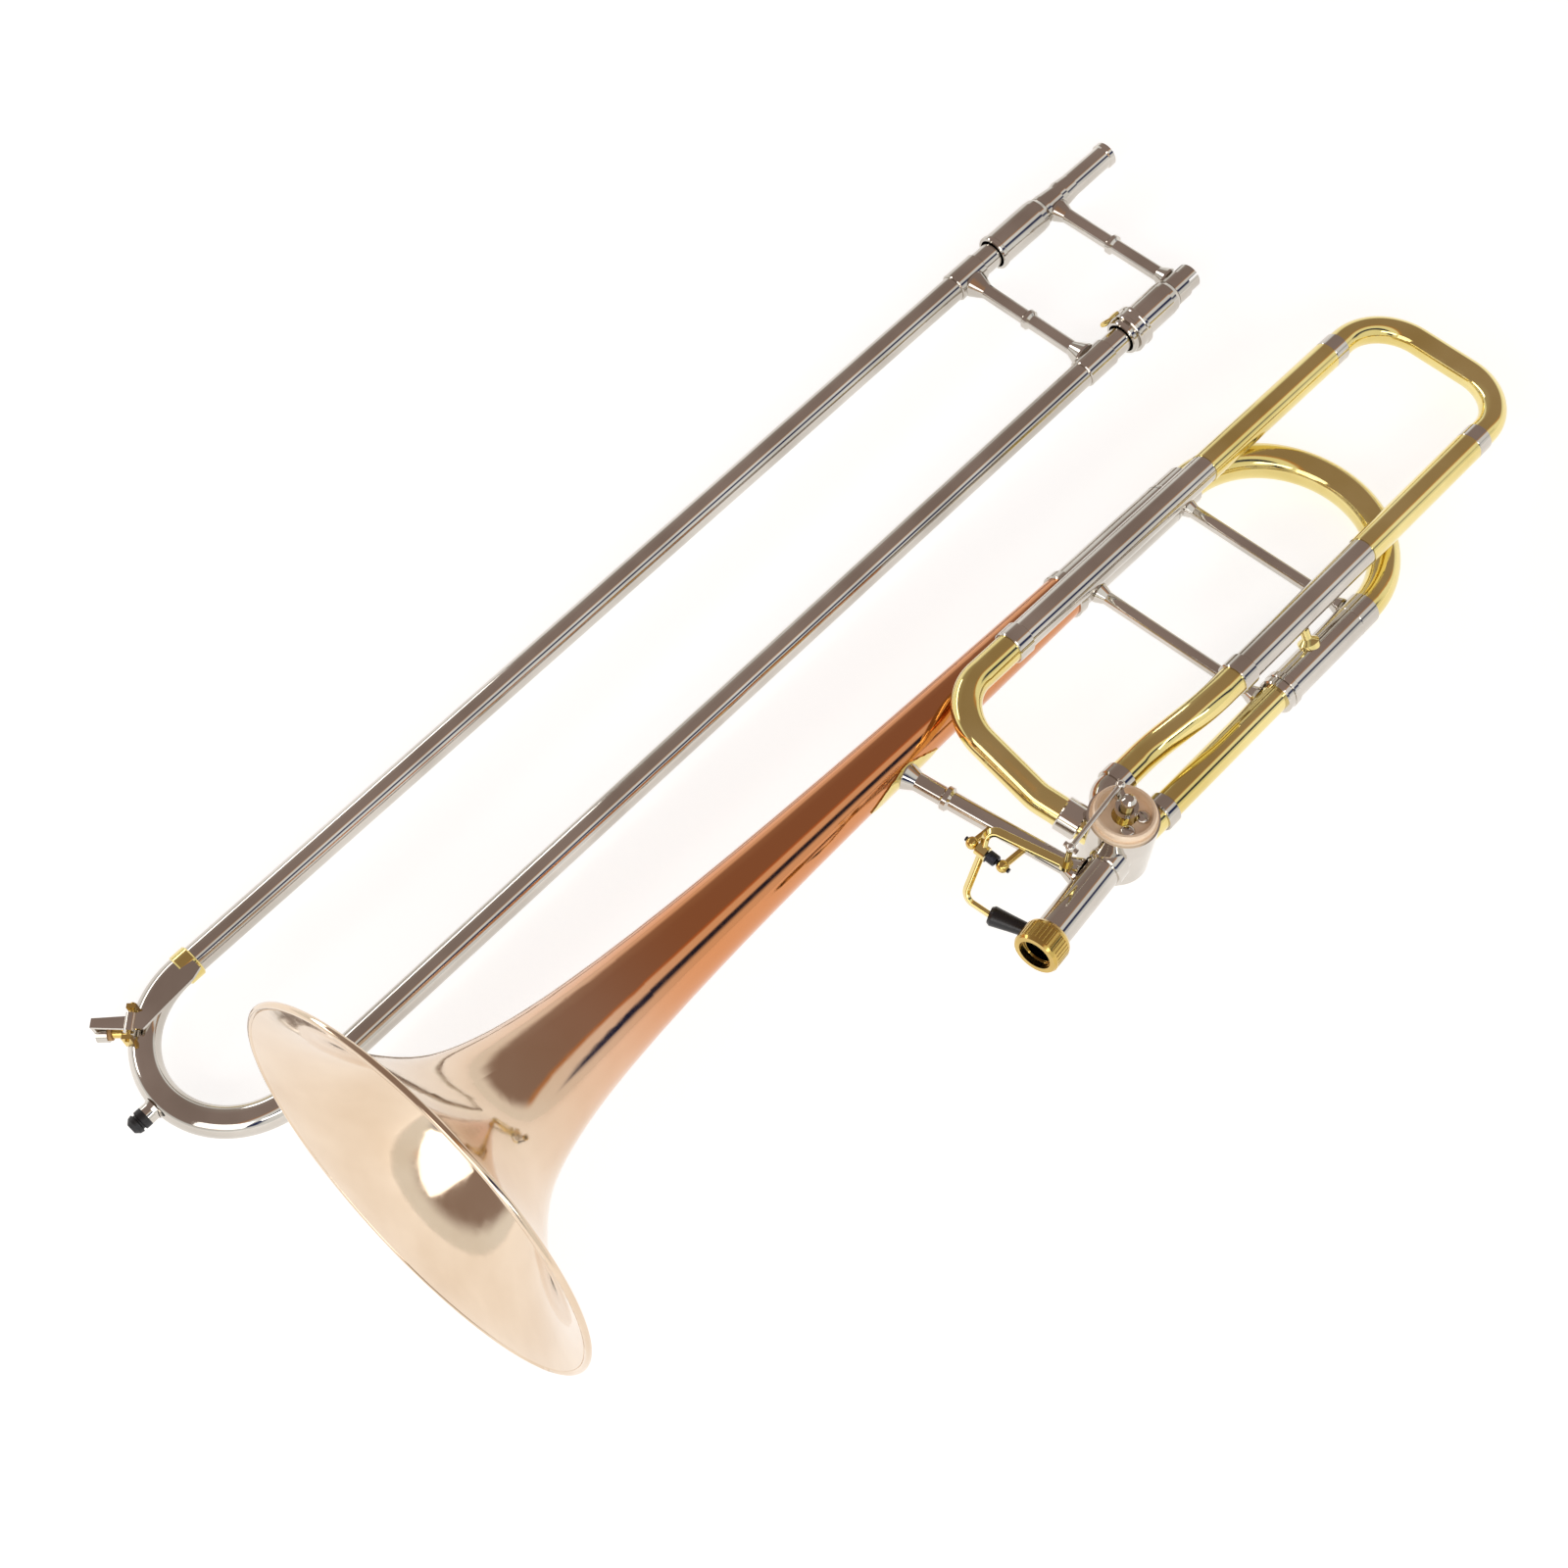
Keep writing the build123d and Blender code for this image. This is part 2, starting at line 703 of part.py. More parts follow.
bell_inner_radius = bell_leg_bore - leg_clearance
goose_inner_radius = goose_leg_bore - leg_clearance
bell_bow_end = at(bow_centre_u, 0)
goose_bow_end = at(bow_centre_u, leg_spacing)
main_inner_legs = turned(
    ring(at(bell_joint - main_inner_length, 0), bell_bow_end, bell_inner_radius, bell_inner_radius - 0.7),
    ring(
        at(goose_joint - main_inner_length, leg_spacing), goose_bow_end,
        goose_inner_radius, goose_inner_radius - 0.6,
    ),
)
save(main_inner_legs, "main_slide_inner_legs")
bell_cuff = bow_centre_u - bell_joint - joint_gap
bell_cuff_outline = [
    (0, bell_inner_radius),
    (bell_cuff, bell_inner_radius),
    (bell_cuff, bell_inner_radius + 0.5),
    (2.4, bell_inner_radius + 0.5),
    (1.8, bell_leg_radius),
    (0, bell_leg_radius),
]
main_bow_ferrules = turned(
    (at(bell_joint + joint_gap, 0), bell_bow_end, bell_cuff_outline),
    rounded_ring(
        at(goose_joint + joint_gap, leg_spacing), goose_bow_end, goose_leg_radius, goose_inner_radius
    ),
)
save(main_bow_ferrules, "main_bow_ferrules")
bow_brace_bell_at = bell_joint + 8.5
bow_brace_goose_at = goose_joint + 5.5
main_brace = turned(
    brace_profile(
        at(bow_brace_bell_at, bell_inner_radius - 1),
        at(bow_brace_goose_at, leg_spacing - goose_leg_radius + 1),
        slim_brace_radius, slim_brace_flare - 0.6, 0,
    ),
    cuts=[
        rod(at(bell_joint + joint_gap, 0), bell_bow_end, bell_inner_radius + 0.5),
        rod(at(goose_joint, leg_spacing), goose_bow_end, goose_leg_radius),
    ],
)
save(main_brace, "main_bow_brace")

# ---- Rotary valve ----


def by_valve(height, du=0.0, dv=0.0):
    # A point near the rotor's axis, by its height above the plane of the tubes.
    return at(valve_at + du, valve_side + dv, height)


casing_blank = rod(by_valve(-casing_half_height), by_valve(casing_half_height), casing_radius)
neck_start = at(neck_mouth, neck_mouth_side)
neck_top = at(valve_at - casing_radius + 2, neck_top_side)
neck_line = (neck_top - neck_start).normalized()
neck_length = (neck_top - neck_start).length
goose_port = at(valve_at + 5, leg_spacing)
cross_port = by_valve(0, -7.0, -6.5)
return_port = by_valve(return_height, 6.0, -4.5)
cross_points = [
    at(f_left_start, f_left, f_height),
    at(cross_corner_at, f_left, f_height),
    at(cross_corner_at, valve_side - 38.5, 5),
    cross_port,
]
return_points = [
    at(f_right_start, f_right, f_height),
    at(f_right_start - 21, f_right, f_height),
    at(valve_at + 47, return_side, return_height),
    at(knuckle_at, return_side, return_height),
]
knuckle_points = [return_points[-1], at(valve_at + 8, return_side, return_height), return_port]

bore = goose_radius - goose_wall
port_bores = [
    rod(neck_start, neck_top + neck_line * 12, bore),
    rod(goose_port, at(goose_start, leg_spacing), bore),
    rod(cross_points[-2], cross_port, bore),
    rod(knuckle_points[-2], return_port, bore),
]
rotor_radius = casing_bore - rotor_clearance
with BuildPart() as casing:
    add(casing_blank)
    inside = rod(by_valve(-2 * casing_half_height), by_valve(2 * casing_half_height), casing_bore)
    for blank in [inside, *port_bores]:
        add(blank, mode=Mode.SUBTRACT)
save(casing, "valve_casing")

spindle_top = rod_height + 1.5
passage_sides = (leg_spacing - valve_side, bore - casing_bore - 4)
with BuildPart() as rotor:
    add(rod(by_valve(-rotor_half_height), by_valve(rotor_half_height), rotor_radius))
    add(rod(by_valve(-rotor_half_height - plate_thickness), by_valve(spindle_top), spindle_radius))
    for side in passage_sides:
        passage = rod(by_valve(0, -2 * casing_radius, side), by_valve(0, 2 * casing_radius, side), bore)
        add(passage, mode=Mode.SUBTRACT)
save(rotor, "valve_rotor")

plate_start = rotor_half_height + plate_gap
plate_end = plate_start + plate_thickness
plate_bore = spindle_radius + plate_gap
plates = turned(
    ring(by_valve(plate_start), by_valve(plate_end), casing_bore, plate_bore),
    ring(by_valve(-plate_end), by_valve(-plate_start), casing_bore, plate_bore),
)
save(plates, "bearing_plates")

front_outline = [
    (0, spindle_radius + 3),
    (1.2, spindle_radius + 3),
    (1.2, cap_radius - 2.6),
    (cap_height, cap_radius - 2.0),
    (cap_height, cap_radius - 0.8),
    (cap_height - 0.8, cap_radius),
    (1.5, cap_radius),
    (1.5, casing_radius - 1),
    (0, casing_radius - 1),
]
front_cap = turned((by_valve(casing_half_height), by_valve(casing_half_height + cap_height), front_outline))
save(front_cap, "valve_front_cap")
back_outline = [
    (0, 0),
    (4.6, 0),
    (5.2, 4),
    (4.6, 8),
    (4.0, casing_radius - 2.5),
    (2.5, casing_radius),
    (0, casing_radius),
]
back_cap = turned((by_valve(-casing_half_height), by_valve(-casing_half_height - 6), back_outline))
save(back_cap, "valve_back_cap")

arm_turn = radians(stop_arm_angle)
joint_du = stop_arm_reach * cos(arm_turn)
joint_dv = stop_arm_reach * sin(arm_turn)
arm_base = rod_height - 4.5
with BuildPart() as stop_arm:
    with BuildSketch(Plane(origin=by_valve(arm_base), x_dir=along, z_dir=up)):
        Circle(5.4)
        with Locations((joint_du / 2, -joint_dv / 2)):
            Rectangle(stop_arm_reach, 4.6, rotation=-stop_arm_angle)
        with Locations((joint_du, -joint_dv)):
            Circle(2.6)
    extrude(amount=3)
    add(rod(by_valve(arm_base + 1, joint_du, joint_dv), by_valve(rod_height + 1, joint_du, joint_dv), 1.0))
    add(rod(by_valve(0), by_valve(rod_height + 10), spindle_radius), mode=Mode.SUBTRACT)
save(stop_arm, "stop_arm")

screw_outline = [(0, 0), (3.6, 0), (3.6, 0.8), (2.8, 1.8), (0, 2.0)]
valve_screws = turned(
    *[
        (by_valve(casing_half_height + 1.2, du, dv), by_valve(casing_half_height + 6, du, dv), screw_outline)
        for du, dv in ((4.9, 7.0), (-6.2, 6.7))
    ]
)
save(valve_screws, "cap_screws")
spindle_outline = [(0, 0), (3.2, 0), (3.0, 2), (1.6, 3.4), (0, 3.6)]
spindle_screw = turned((by_valve(spindle_top), by_valve(spindle_top + 4), spindle_outline))
save(spindle_screw, "spindle_screw")

# ---- Gooseneck and neckpipe ----

gooseneck = turned(ring(goose_port, at(goose_end, leg_spacing), goose_radius, bore), cuts=[casing_blank])
save(gooseneck, "gooseneck_tube")

socket_depth = tenon_length - 0.5
socket_bore = tenon_radius + neck_socket_clearance
neck_outline = [
    (4.0, socket_bore),
    (socket_depth, socket_bore),
    (socket_depth + 4, bore),
    (neck_length + 6, bore),
    (neck_length + 6, neck_radius),
    (4.0, neck_radius),
]
neckpipe = turned((neck_start, neck_top, neck_outline), cuts=[casing_blank])
save(neckpipe, "neckpipe")

nut_bore = neck_radius + nut_clearance
nut_outline = [
    (0, tenon_radius + 1.0),
    (3.6, tenon_radius + 1.0),
    (3.6, nut_bore),
    (nut_length, nut_bore),
    (nut_length, nut_radius - 1.5),
    (nut_length - 1.5, nut_radius - 0.4),
    (nut_length - 3, nut_radius),
    (1.2, nut_radius),
    (0, nut_radius - 0.8),
]
with BuildPart() as nut:
    add(turned((neck_start, neck_top, nut_outline)).part)
    with Locations(Plane(origin=neck_start + neck_line * (nut_length / 2 - 0.5), z_dir=neck_line)):
        with PolarLocations(nut_radius + 0.25, nut_knurls):
            Cylinder(0.55, nut_length - 5, mode=Mode.SUBTRACT)
save(nut, "coupling_nut")


def port_ring(start, end, radius, skip, length=port_length):
    # A ferrule on the last stretch of a tube, a little short of its end.
    direction = (end - start).normalized()
    foot = end - direction * skip
    return rounded_ring(foot - direction * length, foot, radius + port_step, radius)


port_ferrules = turned(
    port_ring(neck_start, neck_top, neck_radius, -2.0),
    port_ring(at(goose_start, leg_spacing), goose_port, goose_radius, casing_radius - 2),
    port_ring(*cross_points[-2:], f_tube_radius, 9, 11),
    port_ring(*return_points[-2:], f_tube_radius, -4),
    cuts=[casing_blank],
)
save(port_ferrules, "port_ferrules")

# ---- F attachment ----

f_bore = f_tube_radius - f_wall
f_cross = bent_tube(cross_points, (24, 26), f_tube_radius, f_bore, cuts=[casing_blank])
save(f_cross, "f_cross_tube")
f_return = bent_tube(return_points, (28, 28), f_tube_radius, f_bore)
save(f_return, "f_return_bend")
knuckle = bent_tube(knuckle_points, (9,), f_tube_radius, f_bore, cuts=[casing_blank])
save(knuckle, "return_knuckle")
f_leg_bore = f_leg_radius - 0.5
f_runs = (("left", f_left, f_left_start, f_left_change), ("right", f_right, f_right_start, f_right_change))
for name, side, start, change in f_runs:
    turn_over = at(change, side, f_height)
    run = turned(ring(at(start, side, f_height), turn_over, f_tube_radius, f_tube_radius - 0.5))
    save(run, f"f_{name}_tube")
    leg = turned(ring(turn_over, at(f_joint, side, f_height), f_leg_radius, f_leg_bore))
    save(leg, f"f_{name}_leg")
f_ferrules = turned(
    *[
        rounded_ring(
            at(start - 2, side, f_height), at(start + 8, side, f_height), f_tube_radius + 1.1, f_tube_radius
        )
        for _, side, start, _ in f_runs
    ]
)
save(f_ferrules, "f_tube_ferrules")

f_bow_end = f_bow_reach - f_bow_radius
f_bow_start = f_joint + 10
f_bow_points = [
    at(f_bow_start, f_left, f_height),
    at(f_bow_end, f_left, f_height),
    at(f_bow_end, f_right, f_height),
    at(f_bow_start, f_right, f_height),
]
f_bow = bent_tube(f_bow_points, (f_bow_corner, f_bow_corner), f_bow_radius, f_bow_radius - f_wall)
save(f_bow, "f_tuning_bow")
f_inner_radius = f_leg_bore - leg_clearance
f_inner_start = f_joint - f_inner_length
f_inner_legs = turned(
    *[
        ring(
            at(f_inner_start, side, f_height), at(f_bow_start, side, f_height),
            f_inner_radius, f_inner_radius - 0.5,
        )
        for side in (f_left, f_right)
    ]
)
save(f_inner_legs, "f_slide_inner_legs")
f_bow_ferrules = turned(
    *[
        rounded_ring(
            at(f_joint + joint_gap, side, f_height), at(f_bow_start, side, f_height),
            f_leg_radius, f_inner_radius,
        )
        for side in (f_left, f_right)
    ]
)
save(f_bow_ferrules, "f_bow_ferrules")

# ---- Braces ----

goose_blank = rod(goose_port, at(goose_end, leg_spacing), goose_radius)
goose_leg_blank = rod(at(goose_leg_start, leg_spacing), at(goose_joint, leg_spacing), goose_leg_radius)
bell_leg_blank = rod(at(stem_end, 0), at(bell_joint, 0), bell_leg_radius)
neck_blank = rod(neck_start, neck_top, neck_radius)
upper_brace = turned(
    brace_profile(
        at(upper_brace_bell_at, bell_leg_radius - 1),
        at(upper_brace_goose_at, leg_spacing - goose_radius + 1),
        slim_brace_radius, slim_brace_flare, 0,
    ),
    cuts=[bell_leg_blank, goose_blank],
)
save(upper_brace, "upper_brace")

brace_start_side = horn(lower_brace_bell_at) - 2
brace_end_side = leg_spacing - neck_radius + 1.5
slope = (lower_brace_neck_at - lower_brace_bell_at) / (brace_end_side - brace_start_side)


def brace_u(v):
    # How far from the rim the lower brace's axis is, at a distance from the bell's axis.
    return lower_brace_bell_at + slope * (v - brace_start_side)


lower_brace = turned(
    brace_profile(
        at(lower_brace_bell_at, brace_start_side), at(lower_brace_neck_at, brace_end_side),
        lower_brace_radius, 7.2, 6.2, 0.25,
    ),
    cuts=[stem_blank, neck_blank],
)
save(lower_brace, "lower_brace")

stay_spots = ((402, f_left), (470, f_left), (492, f_right))
stay_profiles = []
for u, side in stay_spots:
    top = at(u, side, f_height)
    bottom = at(u, 0) if side == f_left else at(u, leg_spacing)
    length = (top - bottom).length
    stay_outline = [
        (6, 0),
        (length - 5, 0),
        (length - 5, 4.2),
        (length - 8.6, 2.4),
        (12, 2.4),
        (10, 5.4),
        (6, 5.4),
    ]
    stay_profiles.append((bottom, top, stay_outline))
stays = turned(
    *stay_profiles,
    cuts=[
        stem_blank,
        bell_leg_blank,
        goose_leg_blank,
        rod(at(f_left_start, f_left, f_height), at(f_left_change, f_left, f_height), f_tube_radius),
        rod(at(f_right_start, f_right, f_height), at(f_right_change, f_right, f_height), f_tube_radius),
    ],
)
save(stays, "f_stays")

# ---- Thumb lever ----


def by_axle(v, du=0.0, height=lever_axis_height):
    # A point near the lever's axle, by its distance from the bell's axis.
    return at(lever_axis_at + du, v, height)


brace_blank = rod(at(brace_u(20), 20), at(brace_u(95), 95), lower_brace_radius)
post_profiles = []
for v in (post_near, post_far):
    reach = hypot(brace_u(v) - lever_axis_at, lever_axis_height)
    post_outline = [(3.5, 0), (reach, 0), (reach, post_radius), (3.5, post_radius)]
    post_profiles.append((at(brace_u(v), v), by_axle(v), post_outline))
with BuildPart() as lever_posts:
    add(turned(*post_profiles).part)
    for v in (post_near, post_far):
        with Locations(by_axle(v)):
            Sphere(ball_radius)
    add(rod(by_axle(post_near - 5), by_axle(post_far + 5), axle_radius), mode=Mode.SUBTRACT)
    add(brace_blank, mode=Mode.SUBTRACT)
save(lever_posts, "lever_posts")
axle = turned(ring(by_axle(post_near - 3.8), by_axle(post_far + 3.8), axle_radius, 0))
save(axle, "lever_axle")

hub_start = post_near + ball_radius + 0.3
hub_end = hub_start + 5.4
spring_start = hub_end + 0.4
spring_end = post_far - ball_radius - 0.3
coil = (spring_end - spring_start) / spring_coils
spring_outline = [(0, axle_radius + 0.2), (spring_coils * coil, axle_radius + 0.2)]
for i in range(spring_coils, 0, -1):
    spring_outline += [(i * coil, 2.2), ((i - 0.5) * coil, 3.0), ((i - 1) * coil + 0.05, 2.2)]
lever_spring = turned((by_axle(spring_start), by_axle(spring_end), spring_outline))
save(lever_spring, "lever_spring")

# One bent strap runs from the link, over the brace, down past the axle and into the grip.
grip_start = at(grip_at, grip_side, grip_height)
grip_line = (along * 0.30 + across * 0.95).normalized()
grip_end = grip_start + grip_line * grip_length
arm_end = at(lever_arm_at, lever_arm_side, lever_strip_height)
hub_middle = (hub_start + hub_end) / 2
strap_points = [
    arm_end,
    at(lever_corner_at, lever_corner_side, lever_strip_height),
    by_axle(hub_middle),
    at(lever_foot_at, hub_middle + 4, lever_foot_height),
    grip_start,
]
rod_start = arm_end + up * (rod_height + 2.6 - lever_strip_height)
post_top = rod_height - 0.4
with BuildPart() as thumb_lever:
    with BuildLine() as strap_line:
        FilletPolyline(*strap_points, radius=(5, 7, 6))
    with BuildSketch(
        Plane(origin=arm_end, x_dir=up, z_dir=(strap_points[1] - strap_points[0]).normalized())
    ):
        RectangleRounded(lever_strip_thickness, lever_strip_width, 0.8)
    sweep(path=strap_line.line)
    add(rod(arm_end - up * (lever_strip_thickness / 2), arm_end + up * (lever_strip_thickness / 2), 3.2))
    add(rod(arm_end, arm_end + up * (post_top - lever_strip_height), 1.5))
    add(rod(by_axle(hub_start), by_axle(hub_end), axle_radius + 2.2))
    add(rod(by_axle(hub_start - 3), by_axle(hub_end + 3), axle_radius + lever_clearance), mode=Mode.SUBTRACT)
save(thumb_lever, "thumb_lever")

grip_outline = [
    (0, 0),
    (grip_length, 0),
    (grip_length, grip_tip_radius - 1.2),
    (grip_length - 1.2, grip_tip_radius),
    (grip_length * 0.62, grip_tip_radius),
    (grip_length * 0.30, (grip_radius + grip_tip_radius) / 2),
    (1.5, grip_radius),
    (0, grip_radius - 1),
]
thumb_grip = turned((grip_start, grip_end, grip_outline))
save(thumb_grip, "thumb_grip")

# The link rod has a ball and cross pin over the lever's post and a ball over the stop arm's pin.
rod_end = by_valve(rod_height + 3.4, joint_du, joint_dv)
pin_reach = across * (link_ball_radius + 1.2)
with BuildPart() as link_rod:
    for centre in (rod_start, rod_end):
        with Locations(centre):
            Sphere(link_ball_radius)
    add(rod(rod_start, rod_end, link_radius))
    add(rod(rod_start - pin_reach, rod_start + pin_reach, 1.3))
    room_start = by_valve(rod_height - 3, joint_du, joint_dv)
    add(rod(room_start, room_start + up * 4.3, 4), mode=Mode.SUBTRACT)
save(link_rod, "link_rod")
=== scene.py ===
import json
import math
import bmesh
import bpy
from mathutils import Matrix, Vector


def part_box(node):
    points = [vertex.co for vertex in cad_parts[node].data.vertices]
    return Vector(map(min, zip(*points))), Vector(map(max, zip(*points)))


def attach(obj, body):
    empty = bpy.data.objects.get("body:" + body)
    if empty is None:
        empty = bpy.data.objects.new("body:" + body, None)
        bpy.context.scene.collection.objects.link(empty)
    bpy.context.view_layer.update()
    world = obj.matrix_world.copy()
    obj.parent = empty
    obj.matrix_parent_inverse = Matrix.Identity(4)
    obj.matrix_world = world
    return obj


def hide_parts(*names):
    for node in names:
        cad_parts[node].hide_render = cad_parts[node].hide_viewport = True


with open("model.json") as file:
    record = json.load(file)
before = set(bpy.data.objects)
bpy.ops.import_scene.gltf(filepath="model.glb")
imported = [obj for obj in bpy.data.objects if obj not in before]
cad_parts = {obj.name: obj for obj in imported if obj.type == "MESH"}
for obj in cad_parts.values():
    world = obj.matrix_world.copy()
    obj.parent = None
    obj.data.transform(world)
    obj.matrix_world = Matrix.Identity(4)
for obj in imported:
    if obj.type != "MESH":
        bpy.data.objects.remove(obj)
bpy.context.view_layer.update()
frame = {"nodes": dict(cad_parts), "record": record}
nodes = frame["nodes"]
mm = 0.001
fullTurn = 2 * math.pi


def linear(hexColour):
    # an sRGB hex colour as linear RGBA
    parts = [int(hexColour[i:i + 2], 16) / 255 for i in (1, 3, 5)]
    return [c / 12.92 if c <= 0.04045 else ((c + 0.055) / 1.055) ** 2.4 for c in parts] + [1.0]


def addNode(tree, kind, settings=None, inputs=None, links=None):
    # one node with its settings, its socket values and what feeds it
    node = tree.nodes.new(kind)
    for key, value in (settings or {}).items():
        setattr(node, key, value)
    for key, value in (inputs or {}).items():
        node.inputs[key].default_value = value
    for key, (source, socket) in (links or {}).items():
        tree.links.new(source.outputs[socket], node.inputs[key])
    return node


def startMaterial(name):
    # an empty material and the tree to fill
    material = bpy.data.materials.new(name)
    material.use_nodes = True
    material.node_tree.nodes.clear()
    return material, material.node_tree


def finishMaterial(tree, settings, links):
    # the shader with its plain values and its patterned ones, joined to the output
    shader = addNode(tree, "ShaderNodeBsdfPrincipled", inputs=settings, links=links)
    addNode(tree, "ShaderNodeOutputMaterial", links={"Surface": (shader, "BSDF")})


# Each metal has a pale and a deep tone, and the spacing in millimetres along X, Y and Z
# of the fine lines that its making left.
metals = {
    # spun on a former, buffed and thinly lacquered: a pale rosy mirror with faint rings round the bell
    "roseBrassSpun": {
        "pale": "#E4D0B8", "deep": "#DAC3A8", "roughness": 0.09, "lines": (0.9, 120, 120),
        "coat": 0.35, "metallic": 1.0},
    # drawn tube, buffed lengthwise and lacquered: a clear golden mirror with a soft bloom
    "yellowBrassLacquered": {
        "pale": "#EFDE98", "deep": "#DFCA7C", "roughness": 0.09, "lines": (60, 0.8, 0.8),
        "coat": 0.4, "metallic": 1.0},
    # drawn tube, buffed and left bare: the sharpest mirror here, grey with a little warmth
    "nickelSilverPolished": {
        "pale": "#D6D1C9", "deep": "#C2BCB3", "roughness": 0.07, "lines": (60, 0.8, 0.8),
        "coat": 0.0, "metallic": 1.0},
    # turned plate under a satin lacquer, soft with hardly any mirror left; its pale near-white cream is a painted
    # highlight, standing in for the bright light the cap reflects
    "brassPlateSatinPaintedHighlight": {
        "pale": "#FBE8CF", "deep": "#F3D6B4", "roughness": 0.48, "lines": (1.2, 1.2, 9),
        "coat": 0.2, "metallic": 0.3},
    # turned from bar: deeper gold, with tool rings that widen the highlights
    "brassTurned": {
        "pale": "#E2C778", "deep": "#CAAA58", "roughness": 0.16, "lines": (0.7, 20, 20),
        "coat": 0.3, "metallic": 1.0},
    # hard-drawn wire blued in oil: dark, with a short cold glint
    "springSteelBlued": {
        "pale": "#4A4C54", "deep": "#2C2E36", "roughness": 0.25, "lines": (9, 0.7, 0.7),
        "coat": 0.0, "metallic": 1.0},
}
# Sizes are in millimetres. The lines are far coarser than real ones, so that they show.
metalDetail = {
    "tarnishSize": 45, "tarnishDetail": 3.0, "tarnishFrom": 0.35, "tarnishTo": 0.65,
    "hazeSize": 5, "hazeDetail": 4.0, "hazeFrom": 0.3, "hazeTo": 0.7,
    "clearest": 0.7, "dullest": 1.4,  # shares of the metal's roughness
    "lineDepth": 0.02, "lineStrength": 0.05, "lineDetail": 2.0, "coatRoughness": 0.04}
# painted reflection: the horn is painted a deeper copper towards the throat, standing in for the dark warm room that
# the stem reflects, over these shares of the horn's length
bellPaintedReflection = {"finish": "roseBrassSpun", "throatReflection": "#D28C5A", "from": 0.08, "to": 0.42}


def paintThroatReflection(tree, place, colour):
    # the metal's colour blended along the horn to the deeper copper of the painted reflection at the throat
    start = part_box("bell_flare")[0].x
    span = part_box("bell_stem")[1].x - start
    axes = addNode(tree, "ShaderNodeSeparateXYZ", links={"Vector": (place, "Object")})
    throatReflectionMask = addNode(tree, "ShaderNodeMapRange", {"interpolation_type": "SMOOTHSTEP"},
                       {"From Min": start + span * bellPaintedReflection["from"], "From Max": start + span * bellPaintedReflection["to"]},
                       {"Value": (axes, "X")})
    blend = addNode(tree, "ShaderNodeMix", {"data_type": "RGBA", "blend_type": "MIX"},
                    {7: linear(bellPaintedReflection["throatReflection"])}, {"Factor": (throatReflectionMask, "Result"), 6: colour})
    return blend, 2


def makeMetal(name, pale, deep, roughness, lines, coat, metallic):
    # a mirror broken by tone, haze and fine lines
    detail = metalDetail
    material, tree = startMaterial(name)
    place = addNode(tree, "ShaderNodeTexCoord")
    # faint tone changes, as handling and thin lacquer leave on polished tube
    tone = addNode(tree, "ShaderNodeTexNoise",
                   inputs={"Scale": 1 / (detail["tarnishSize"] * mm), "Detail": detail["tarnishDetail"]},
                   links={"Vector": (place, "Object")})
    ramp = addNode(tree, "ShaderNodeValToRGB", links={"Fac": (tone, "Fac")})
    low, high = ramp.color_ramp.elements
    low.position, high.position = detail["tarnishFrom"], detail["tarnishTo"]
    low.color, high.color = linear(deep), linear(pale)
    colour = (ramp, "Color")
    # only the horn's finish gets the painted reflection, a deeper copper towards the throat
    if name == bellPaintedReflection["finish"]:
        colour = paintThroatReflection(tree, place, colour)
    # buffing haze, which breaks up the mirror a little
    haze = addNode(tree, "ShaderNodeTexNoise",
                   inputs={"Scale": 1 / (detail["hazeSize"] * mm), "Detail": detail["hazeDetail"]},
                   links={"Vector": (place, "Object")})
    gloss = addNode(tree, "ShaderNodeMapRange",
                    inputs={"From Min": detail["hazeFrom"], "From Max": detail["hazeTo"],
                            "To Min": roughness * detail["clearest"], "To Max": roughness * detail["dullest"]},
                    links={"Value": (haze, "Fac")})
    # lines left by the buff or the tool
    stretched = addNode(tree, "ShaderNodeMapping", inputs={"Scale": [1 / (size * mm) for size in lines]},
                        links={"Vector": (place, "Object")})
    scratches = addNode(tree, "ShaderNodeTexNoise", inputs={"Scale": 1.0, "Detail": detail["lineDetail"]},
                        links={"Vector": (stretched, "Vector")})
    bump = addNode(tree, "ShaderNodeBump",
                   inputs={"Strength": detail["lineStrength"], "Distance": detail["lineDepth"] * mm},
                   links={"Height": (scratches, "Fac")})
    finishMaterial(tree, {"Metallic": metallic, "Coat Weight": coat, "Coat Roughness": detail["coatRoughness"]},
                   {"Base Color": colour, "Roughness": (gloss, "Result"), "Normal": (bump, "Normal")})
    return material


# rubber, plastic and cork, each with its grain and the grain's depth in millimetres
plainParts = {
    # rubber pressed in a mould: near-black with a wide dull sheen
    "blackRubberMoulded": {"colour": "#17171A", "roughness": 0.5, "grain": 0.6, "depth": 0.1},
    # ABS from a polished mould: black with a tight highlight and a faint waviness
    "blackAbsMoulded": {"colour": "#141418", "roughness": 0.28, "grain": 0.9, "depth": 0.06},
    # cork cut from the bark: mealy tan that shows no highlight
    "corkCut": {"colour": "#B08A5C", "roughness": 0.85, "grain": 1.2, "depth": 0.4},
}
plainDetail = {"noiseDetail": 4.0, "bumpStrength": 0.3, "ior": 1.5, "clearest": 0.8, "dullest": 1.2}


